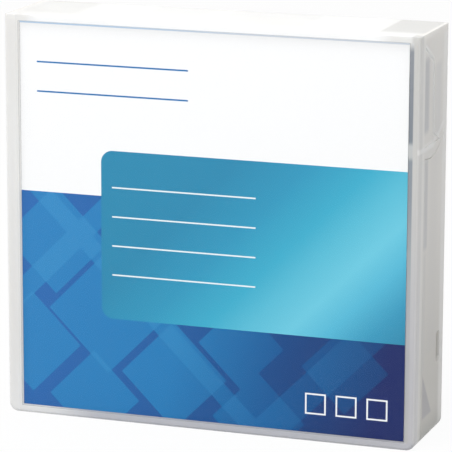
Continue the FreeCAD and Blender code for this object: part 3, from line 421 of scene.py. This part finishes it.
def tick_box(finish, x, z, half_side, line):
    """An empty square outline to tick."""
    reach = finish.any_of(*away(finish, x, z))
    return finish.all_of(finish.calc("LESS_THAN", reach, half_side * MM),
                         finish.calc("GREATER_THAN", reach, (half_side - line) * MM))


def ruled(finish, left, right, heights, half_width):
    """Straight writing lines."""
    lines = [finish.calc("LESS_THAN", finish.calc("ABSOLUTE", finish.calc("SUBTRACT", finish.z, z * MM)),
                         half_width * MM) for z in heights]
    return finish.all_of(finish.any_of(*lines), finish.between(finish.x, left * MM, right * MM, 0.02 * MM))


def panel_mask(finish):
    """The panel's field, with two rounded corners on its left."""
    left = PANEL_LEFT + PANEL_CORNER
    middle = (PANEL_BOTTOM + PANEL_TOP) / 2
    half = (PANEL_TOP - PANEL_BOTTOM) / 2 - PANEL_CORNER
    across = finish.calc("MAXIMUM", finish.calc("SUBTRACT", left, finish.x), 0.0)
    up = finish.calc("ABSOLUTE", finish.calc("SUBTRACT", finish.z, middle))
    over = finish.calc("MAXIMUM", finish.calc("SUBTRACT", up, half), 0.0)
    squares = finish.calc("ADD", finish.calc("POWER", across, 2.0), finish.calc("POWER", over, 2.0))
    return finish.calc("LESS_THAN", squares, PANEL_CORNER ** 2)


def ink(red, green, blue):
    """A printed colour, less the thin veil of light that the clear window lays over it."""
    return tuple(max(channel * INK_GAIN - WINDOW_VEIL, LEAST_INK)
                 for channel in linear(red, green, blue)[:3]) + (1,)


def blue_field(finish):
    """Blue that deepens to the right, with diamonds and slanted bands, lighter where they cross."""
    width = CARD_HIGH.x - CARD_LOW.x
    across = finish.calc("DIVIDE", finish.calc("SUBTRACT", finish.x, CARD_LOW.x), width)
    rise = finish.calc("DIVIDE", finish.calc("SUBTRACT", finish.z, CARD_LOW.z), BLUE_TOP)
    drift = finish.calc("MULTIPLY_ADD", rise, -0.12, finish.calc("ADD", across, 0.08))
    ground, figure, crossing = (finish.ramp(drift, tones, ink)
                                for tones in (GROUND_TONES, FIGURE_TONES, CROSSING_TONES))
    count = finish.fold("ADD", [diamond(finish, *row) for row in DIAMONDS]
                        + [band(finish, *row) for row in BANDS])
    once = finish.calc("MINIMUM", count, 1.0)
    twice = finish.step(count, 1.2, 1.8)
    return finish.painted(ground, [(once, figure), (twice, crossing)])


def card_print():
    """White coated card: a blue field, a pale fold, a shaded panel, writing lines and tick boxes."""
    finish = Finish("printed_card", WHITE, 0.35, Specular_IOR_Level=0.05)
    blue = finish.calc("LESS_THAN", finish.z, BLUE_TOP)
    fold = finish.step(finish.z, CARD_HIGH.z - 0.65 * MM, CARD_HIGH.z - 0.5 * MM)
    pale = finish.tint(finish.step(finish.x, -35 * MM, 20 * MM), ink(190, 212, 234), ink(212, 219, 228))
    slant = finish.calc("ADD", finish.calc("SUBTRACT", finish.x, PANEL_LEFT),
                        finish.calc("SUBTRACT", PANEL_TOP, finish.z))
    panel = finish.ramp(finish.calc("DIVIDE", slant, PANEL_SWEEP), PANEL_TONES, ink)
    back = finish.step(finish.y, CARD_LOW.y + 0.1 * MM, CARD_LOW.y + 0.15 * MM)
    colour = finish.painted(WHITE, [
        (blue, blue_field(finish)),
        (fold, pale),
        (ruled(finish, *TITLE_LINES), ink(52, 122, 184)),
        (panel_mask(finish), panel),
        (ruled(finish, *PANEL_LINES), linear(240, 250, 252)),
        *((tick_box(finish, *row), linear(250, 252, 255)) for row in TICK_BOXES),
        (back, linear(248, 248, 246))])
    grain = finish.noise(0.3 * MM, 3)
    finish.set("Base Color", finish.tint(finish.amount(grain, 0.0, 0.04), colour, linear(235, 235, 235)))
    finish.set("Roughness", finish.amount(grain, 0.5, 0.62))
    return finish


# ------------------------------------------------------------------ the cartridge

def shell_plastic():
    """Dark moulded polycarbonate with a spark-eroded skin."""
    dark, darker = linear(68, 73, 84), linear(56, 60, 71)
    finish = Finish("shell_polycarbonate", dark, 0.5, IOR=1.58)
    cloud = finish.noise(9 * MM, 3)
    pits = finish.noise(0.25 * MM, 3, roughness=0.7)
    finish.set("Base Color", finish.tint(cloud, dark, darker))
    finish.set("Roughness", finish.amount(pits, 0.42, 0.62))
    finish.relief(pits, 0.03 * MM, 0.6)
    return finish


def moulded(name, red, green, blue, roughness=0.4):
    """Plain coloured engineering plastic, slightly uneven."""
    tone = linear(red, green, blue)
    shade = tuple(channel * 0.93 for channel in tone[:3]) + (1.0,)
    finish = Finish(name, tone, roughness, IOR=1.48)
    cloud = finish.noise(18 * MM, 2)
    skin = finish.noise(0.4 * MM, 2)
    finish.set("Base Color", finish.tint(finish.step(cloud, 0.35, 0.75), tone, shade))
    finish.set("Roughness", finish.amount(skin, roughness - 0.08, roughness + 0.1))
    finish.relief(skin, 0.015 * MM, 0.4)
    return finish


def steel(name, grain_direction, roughness=0.28, tone=(196, 198, 202)):
    """Drawn or turned steel, with scratches along one direction."""
    finish = Finish(name, linear(*tone), roughness, metallic=1.0)
    lines = finish.noise(0.12 * MM, 2, finish.stretched(*grain_direction))
    finish.set("Base Color", finish.tint(finish.amount(lines, 0.0, 0.5), linear(*tone),
                                         linear(*(channel * 0.8 for channel in tone))))
    finish.set("Roughness", finish.amount(lines, roughness - 0.1, roughness + 0.14))
    finish.relief(lines, 0.01 * MM, 0.4)
    return finish


def turned_rings(finish, node, pitch):
    """Fine uneven rings about the middle of a round piece that faces front and back."""
    low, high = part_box(node)
    middle = (low + high) / 2
    across = finish.calc("POWER", finish.calc("SUBTRACT", finish.x, middle.x), 2.0)
    up = finish.calc("POWER", finish.calc("SUBTRACT", finish.z, middle.z), 2.0)
    radius = finish.calc("SQRT", finish.calc("ADD", across, up))
    turns = finish.add("ShaderNodeTexNoise", {"W": radius, "Scale": 1 / pitch, "Detail": 3},
                       noise_dimensions="1D")
    return turns.outputs["Fac"]


def tape_film():
    """Wound tape: fine rings about the reel's axis."""
    finish = Finish("tape_film", linear(52, 44, 40), 0.22, IOR=1.6)
    ring = turned_rings(finish, "tape_pack", 0.12 * MM)
    finish.set("Base Color", finish.tint(ring, linear(58, 48, 43), linear(38, 33, 31)))
    finish.set("Roughness", finish.amount(ring, 0.16, 0.36))
    finish.relief(ring, 0.02 * MM, 0.5)
    return finish


def faced_steel():
    """Sheet steel with the rings that facing it on a lathe leaves."""
    finish = Finish("faced_steel", linear(190, 192, 197), 0.28, metallic=1.0)
    ring = turned_rings(finish, "drive_plate", 0.25 * MM)
    finish.set("Base Color", finish.tint(ring, linear(205, 207, 211), linear(158, 160, 166)))
    finish.set("Roughness", finish.amount(ring, 0.18, 0.42))
    finish.relief(ring, 0.012 * MM, 0.6)
    return finish


def label_paper():
    """Bare writing label: matt paper with a thin frame and five upright rules."""
    finish = Finish("label_paper", linear(246, 246, 243), 0.6)
    fibre = finish.noise(0.35 * MM, 4)
    paper = finish.tint(fibre, linear(250, 250, 247), linear(238, 238, 233))
    low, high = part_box("rear_label")
    inset, line, columns = 1.2 * MM, 0.25 * MM, 6
    deep = finish.between(finish.y, low.y + inset, high.y - inset, 0.02 * MM)
    wide = finish.between(finish.x, low.x + inset, high.x - inset, 0.02 * MM)
    inner = finish.all_of(
        finish.between(finish.y, low.y + inset + line, high.y - inset - line, 0.02 * MM),
        finish.between(finish.x, low.x + inset + line, high.x - inset - line, 0.02 * MM))
    pitch = (high.x - low.x - 2 * inset) / columns
    beside = finish.calc("SUBTRACT", finish.x, low.x + inset)
    from_rule = finish.calc("ABSOLUTE", finish.calc("PINGPONG", beside, pitch / 2))
    rule = finish.calc("LESS_THAN", from_rule, line / 2)
    ruled_field = finish.calc("MAXIMUM", finish.turned(inner), rule)
    printed = finish.all_of(deep, wide, ruled_field)
    finish.set("Base Color", finish.tint(printed, paper, linear(96, 128, 170)))
    finish.relief(fibre, 0.01 * MM, 0.4)
    return finish


def copper():
    """Etched copper, brushed and slightly dull."""
    finish = Finish("etched_copper", linear(206, 134, 92), 0.35, metallic=1.0)
    cloud = finish.noise(0.4 * MM, 3)
    finish.set("Base Color", finish.tint(cloud, linear(214, 142, 98), linear(180, 112, 76)))
    finish.set("Roughness", finish.amount(cloud, 0.28, 0.45))
    return finish


def circuit_board():
    """Green laminate, with a black chip where the board stands proud of its own face."""
    finish = Finish("circuit_board", linear(22, 86, 58), 0.35)
    weave = finish.noise(0.5 * MM, 2)
    laminate = finish.tint(weave, linear(24, 92, 62), linear(16, 70, 47))
    low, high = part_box("memory_board")
    middle = (low + high) / 2
    outward = finish.calc("DIVIDE", finish.calc("SUBTRACT", finish.calc("ADD", finish.x, finish.z),
                                              middle.x + middle.z), math.sqrt(2))
    chip = finish.calc("GREATER_THAN", outward, BOARD_HALF_THICKNESS + 0.02 * MM)
    finish.set("Base Color", finish.tint(chip, laminate, linear(30, 31, 34)))
    finish.relief(weave, 0.01 * MM, 0.4)
    return finish


def dress_cad_nodes(case, board, spring_wire):
    dress(case, "case_lid", "case_tray")
    dress(card_print(), "insert_card")
    dress(shell_plastic(), "upper_shell", "lower_shell", "access_door")
    dress(moulded("reel_acetal", 214, 216, 214), "reel_hub", "reel_upper_flange")
    dress(moulded("brake_acetal", 232, 228, 212), "brake_gear")
    dress(moulded("pad_acetal", 122, 148, 182), "release_pad")
    dress(moulded("tab_abs", 228, 228, 224), "write_protect_tab")
    dress(moulded("clamp_acetal", 38, 40, 44), "leader_clamp")
    dress(steel("turned_pin", (1, 0.05, 1)), "leader_pin")
    dress(faced_steel(), "drive_plate")
    dress(steel("screw_steel", (1, 0.1, 1), 0.3, (150, 152, 158)), "shell_screws")
    dress(spring_wire, "brake_spring", "door_spring", "pin_springs")
    dress(tape_film(), "tape_pack", "leader_tape")
    dress(label_paper(), "rear_label")
    dress(board, "memory_board")


# ------------------------------------------------------------------ repeated small forms

class Pattern(Nodes):
    """A Geometry Nodes tree with named inputs, which ends as one plain mesh."""

    def __init__(self, name):
        super().__init__(bpy.data.node_groups.new(name, "GeometryNodeTree"))
        self.inlet = self.add("NodeGroupInput")
        self.outlet = self.add("NodeGroupOutput")
        self.tree.interface.new_socket("Geometry", in_out="OUTPUT", socket_type="NodeSocketGeometry")
        self.values = {}

    def size(self, name, value, kind="Float"):
        """A named input of the tree, with the value that this piece gives it."""
        item = self.tree.interface.new_socket(name, in_out="INPUT", socket_type="NodeSocket" + kind)
        self.values[item.identifier] = value
        return self.inlet.outputs[name]

    def piece(self, geometry, finish, body, slot):
        """Realizes the tree as one plain mesh that rides on a body."""
        skin = self.size("Finish", finish.material, "Material")
        real = self.add("GeometryNodeRealizeInstances", {"Geometry": geometry})
        dressed = self.add("GeometryNodeSetMaterial", {"Geometry": real.outputs[0], "Material": skin})
        self.join(dressed.outputs[0], self.outlet.inputs[0])
        name = self.tree.name
        seed = bpy.data.objects.new(name + "_seed", bpy.data.meshes.new(name + "_seed"))
        bpy.context.scene.collection.objects.link(seed)
        modifier = seed.modifiers.new(name, "NODES")
        modifier.node_group = self.tree
        for identifier, value in self.values.items():
            modifier[identifier] = value
        bpy.context.view_layer.update()
        graph = bpy.context.evaluated_depsgraph_get()
        mesh = bpy.data.meshes.new_from_object(seed.evaluated_get(graph), depsgraph=graph)
        seed.modifiers.clear()
        bpy.data.objects.remove(seed)
        mesh.name = name
        mesh.materials.clear()
        mesh.materials.append(finish.material)
        mesh.polygons.foreach_set("material_index", [0] * len(mesh.polygons))
        piece = bpy.data.objects.new(name, mesh)
        bpy.context.scene.collection.objects.link(piece)
        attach(piece, body)
        return piece


def coil_spring(finish, node, axis, turns, wire):
    """A round-wire compression spring with closed ends, in its solid's place.

    The brake spring stands on the front shell and the door spring hangs from the stop above it.
    """
    low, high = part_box(node)
    along = "XYZ".index(axis)
    length = high[along] - low[along]
    pattern = Pattern(node + "_wire")
    pattern.size("Wire diameter", wire)
    rise = pattern.size("Rise", length - wire)
    radius = pattern.size("Mean radius", (high.x - low.x - wire) / 2)
    number = pattern.size("Turns", turns)
    closed = pattern.calc("DIVIDE", 1.0, number)
    opened = pattern.calc("SUBTRACT", 1.0, closed)
    diameter = pattern.inlet.outputs["Wire diameter"]
    free = pattern.calc("SUBTRACT", rise, pattern.calc("MULTIPLY", diameter, 2.0))
    helix = pattern.add("GeometryNodeCurveSpiral",
                        {"Resolution": 28, "Rotations": number, "Start Radius": radius,
                         "End Radius": radius, "Height": rise})
    way = pattern.add("GeometryNodeSplineParameter").outputs["Factor"]
    heights = []
    for start, end, gain in ((0.0, closed, diameter), (closed, opened, free), (opened, 1.0, diameter)):
        share = pattern.add("ShaderNodeMapRange", {"Value": way, "From Min": start, "From Max": end,
                                                   "To Min": 0.0, "To Max": gain})
        heights.append(share.outputs[0])
    height = pattern.calc("ADD", pattern.calc("ADD", heights[0], heights[1]), heights[2])
    split = pattern.add("ShaderNodeSeparateXYZ",
                        {"Vector": pattern.add("GeometryNodeInputPosition").outputs[0]})
    joined = pattern.add("ShaderNodeCombineXYZ", {"X": split.outputs[0], "Y": split.outputs[1],
                                                  "Z": height})
    seated = pattern.add("GeometryNodeSetPosition", {"Geometry": helix.outputs[0],
                                                     "Position": joined.outputs[0]})
    section = pattern.add("GeometryNodeCurvePrimitiveCircle",
                          {"Radius": pattern.calc("DIVIDE", diameter, 2.0), "Resolution": 10})
    tube = pattern.add("GeometryNodeCurveToMesh",
                       {"Curve": seated.outputs[0], "Profile Curve": section.outputs["Curve"],
                        "Fill Caps": True})
    smooth = pattern.add("GeometryNodeSetShadeSmooth", {"Geometry": tube.outputs[0]})
    foot = (low + high) / 2
    foot[along] = low[along] + wire / 2
    turn = (-math.pi / 2, 0, 0) if axis == "Y" else (0, 0, 0)
    placed = pattern.add("GeometryNodeTransform", {"Geometry": smooth.outputs[0],
                                                   "Translation": foot, "Rotation": turn})
    piece = pattern.piece(placed.outputs[0], finish, "case", "spring_steel")
    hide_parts(node)
    anchor = (low + high) / 2
    anchor[along] = low[along] if axis == "Y" else high[along]
    direction = Vector((0, 0, 0))
    direction[along] = 1
    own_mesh(piece)


def witness_rings(finish):
    """The rings that ejector pins leave on the inside of the tray's back wall."""
    pattern = Pattern("ejector_rings")
    columns, rows = pattern.size("Columns", 3, "Int"), pattern.size("Rows", 3, "Int")
    across, up = pattern.size("Columns reach over", 84 * MM), pattern.size("Rows reach over", 62 * MM)
    places = pattern.add("GeometryNodeMeshGrid", {"Vertices X": columns, "Vertices Y": rows,
                                                  "Size X": across, "Size Y": up})
    middle_height = 44 * MM
    wall = Vector((0, cad_high.y - CASE_WALL, middle_height))
    upright = pattern.add("GeometryNodeTransform", {"Geometry": places.outputs["Mesh"],
                                                    "Translation": wall,
                                                    "Rotation": (math.pi / 2, 0, 0)})
    ring = pattern.add("GeometryNodeCurvePrimitiveCircle",
                       {"Radius": pattern.size("Pin radius", 2.4 * MM), "Resolution": 40})
    bead = pattern.add("GeometryNodeCurvePrimitiveCircle",
                       {"Radius": pattern.size("Bead radius", 0.14 * MM), "Resolution": 8})
    tube = pattern.add("GeometryNodeCurveToMesh", {"Curve": ring.outputs["Curve"],
                                                   "Profile Curve": bead.outputs["Curve"]})
    rings = pattern.add("GeometryNodeInstanceOnPoints",
                        {"Points": upright.outputs[0], "Instance": tube.outputs[0],
                         "Rotation": (math.pi / 2, 0, 0)})
    pattern.piece(rings.outputs[0], finish, "tray", "case_plastic")


def antenna_trace(finish):
    """Square turns of copper round the chip, on the face of the memory board."""
    pattern = Pattern("board_antenna")
    low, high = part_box("memory_board")
    side = high.y - low.y
    turns = pattern.size("Turns", 5, "Int")
    pitch = pattern.size("Turn pitch", 0.4 * MM)
    centres = pattern.add("GeometryNodeMeshLine", {"Count": turns, "Offset": (0, 0, 0)})
    outer = pattern.size("Outer turn", side - 0.8 * MM)
    square = pattern.add("GeometryNodeCurvePrimitiveQuadrilateral", {"Width": 1.0, "Height": 1.0})
    index = pattern.add("GeometryNodeInputIndex")
    inset = pattern.calc("MULTIPLY", index.outputs[0], pitch)
    width = pattern.calc("SUBTRACT", outer, pattern.calc("MULTIPLY", inset, 2.0))
    stretch = pattern.add("ShaderNodeCombineXYZ", {"X": width, "Y": width, "Z": 1.0})
    loops = pattern.add("GeometryNodeInstanceOnPoints",
                        {"Points": centres.outputs[0], "Instance": square.outputs[0],
                         "Scale": stretch.outputs[0]})
    real = pattern.add("GeometryNodeRealizeInstances", {"Geometry": loops.outputs[0]})
    wire = pattern.add("GeometryNodeCurvePrimitiveCircle",
                       {"Radius": pattern.size("Wire radius", 0.06 * MM), "Resolution": 6})
    tracks = pattern.add("GeometryNodeCurveToMesh", {"Curve": real.outputs[0],
                                                     "Profile Curve": wire.outputs["Curve"]})
    quarter, eighth = math.pi / 2, math.pi / 4
    laid = Matrix.Rotation(eighth, 3, "Y") @ Matrix.Rotation(quarter, 3, "Z")
    middle = (low + high) / 2
    rise = Vector((1, 0, 1)).normalized() * BOARD_HALF_THICKNESS
    placed = pattern.add("GeometryNodeTransform",
                         {"Geometry": tracks.outputs[0], "Translation": middle + rise,
                          "Rotation": laid.to_euler()})
    pattern.piece(placed.outputs[0], finish, "case", "circuit_board")


# ------------------------------------------------------------------ floor, light and camera

DIRECT_RAYS = ("Is Camera Ray", "Is Glossy Ray", "Is Transmission Ray")
FLOOR_REACH = 3.0                # metres
FLOOR_GREY, FLOOR_GLOW, FLOOR_GLOW_SHARE = (0.5, 0.5, 0.5, 1), 1.03, 0.92
FILL_TONE, FILL_STRENGTH = (0.98, 0.99, 1.0, 1), 0.74
CAMERA_AZIMUTH, CAMERA_ELEVATION, CAMERA_ROLL = 19.36, 12.54, 0.16      # degrees
CAMERA_DISTANCE, CAMERA_NEAR = 0.8248, 0.01                             # metres
CAMERA_SENSOR, CAMERA_LENS = 36.0, 244.4                                # millimetres
CAMERA_SHIFT = (0.0037, -0.0118)                                        # shares of the sensor


def seen_directly(shader):
    """1 for what the camera sees straight on, mirrored or through something clear."""
    rays = shader.add("ShaderNodeLightPath")
    return shader.any_of(*(rays.outputs[name] for name in DIRECT_RAYS))


def blend_shaders(shader, share, first, second, output):
    """Ends a tree with two of its shaders, the second by the share given."""
    mixer = shader.add("ShaderNodeMixShader")
    for socket, source in zip(mixer.inputs, (share, first.outputs[0], second.outputs[0])):
        shader.join(source, socket)
    shader.add(output, {"Surface": mixer.outputs[0]})


def studio_floor():
    """A white sheet: it shows plain white, and darkens only where the case shades it."""
    reach = FLOOR_REACH
    mesh = bpy.data.meshes.new("floor")
    mesh.from_pydata([(-reach, -reach, 0), (reach, -reach, 0), (reach, reach, 0), (-reach, reach, 0)],
                     [], [(0, 1, 2, 3)])
    floor = bpy.data.objects.new("floor", mesh)
    bpy.context.scene.collection.objects.link(floor)
    material = bpy.data.materials.new("white_floor")
    material.use_nodes = True
    sheet = Nodes(material.node_tree)
    sheet.tree.nodes.clear()
    paper = sheet.add("ShaderNodeBsdfDiffuse", {"Color": FLOOR_GREY})
    glow = sheet.add("ShaderNodeEmission", {"Strength": FLOOR_GLOW})
    share = sheet.calc("MULTIPLY", seen_directly(sheet), FLOOR_GLOW_SHARE)
    blend_shaders(sheet, share, paper, glow, "ShaderNodeOutputMaterial")
    mesh.materials.append(material)
    floor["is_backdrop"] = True


def studio_world():
    """White to the camera, a plain even light to everything else."""
    world = bpy.data.worlds.new("studio")
    bpy.context.scene.world = world
    world.use_nodes = True
    sky = Nodes(world.node_tree)
    sky.tree.nodes.clear()
    shown = sky.add("ShaderNodeBackground", {"Color": (1, 1, 1, 1), "Strength": 1.0})
    fill = sky.add("ShaderNodeBackground", {"Color": FILL_TONE, "Strength": FILL_STRENGTH})
    blend_shaders(sky, seen_directly(sky), fill, shown, "ShaderNodeOutputWorld")


def sight(azimuth, elevation):
    """The direction from the case towards a viewer, azimuth 0 in front and growing to the right."""
    turn, lift = math.radians(azimuth), math.radians(elevation)
    return Vector((math.sin(turn) * math.cos(lift), -math.cos(turn) * math.cos(lift), math.sin(lift)))


def softbox(name, azimuth, elevation, distance, size, watts):
    """A square area lamp aimed at the middle of the case."""
    middle = (cad_low + cad_high) / 2
    lamp = bpy.data.lights.new(name, "AREA")
    lamp.shape = "SQUARE"
    lamp.size = size
    lamp.energy = watts
    holder = bpy.data.objects.new(name, lamp)
    bpy.context.scene.collection.objects.link(holder)
    direction = sight(azimuth, elevation)
    holder.location = middle + direction * distance
    holder.rotation_euler = direction.to_track_quat("Z", "Y").to_euler()


def camera():
    """A long lens, a little above the case and to its right."""
    middle = (cad_low + cad_high) / 2
    lens = bpy.data.cameras.new("camera")
    lens.sensor_width = CAMERA_SENSOR
    lens.lens = CAMERA_LENS
    lens.clip_start = CAMERA_NEAR
    lens.shift_x, lens.shift_y = CAMERA_SHIFT
    holder = bpy.data.objects.new("camera", lens)
    bpy.context.scene.collection.objects.link(holder)
    direction = sight(CAMERA_AZIMUTH, CAMERA_ELEVATION)
    roll = Matrix.Rotation(math.radians(CAMERA_ROLL), 4, "Z")
    aim = direction.to_track_quat("Z", "Y").to_matrix().to_4x4() @ roll
    holder.matrix_world = Matrix.Translation(middle + direction * CAMERA_DISTANCE) @ aim
    bpy.context.scene.camera = holder


def main():
    case, board = case_plastic(), circuit_board()
    spring_wire = steel("spring_wire", (1, 1, 1), 0.22, (188, 190, 196))
    dress_cad_nodes(case, board, spring_wire)
    witness_rings(case)
    antenna_trace(copper())
    coil_spring(spring_wire, "brake_spring", "Y", 4.5, 0.8 * MM)
    coil_spring(spring_wire, "door_spring", "Z", 10, 0.35 * MM)
    studio_floor()
    studio_world()
    softbox("key", azimuth=-20, elevation=60, distance=1.2, size=0.8, watts=11)
    camera()
    bpy.context.scene.view_settings.view_transform = "Standard"


main()
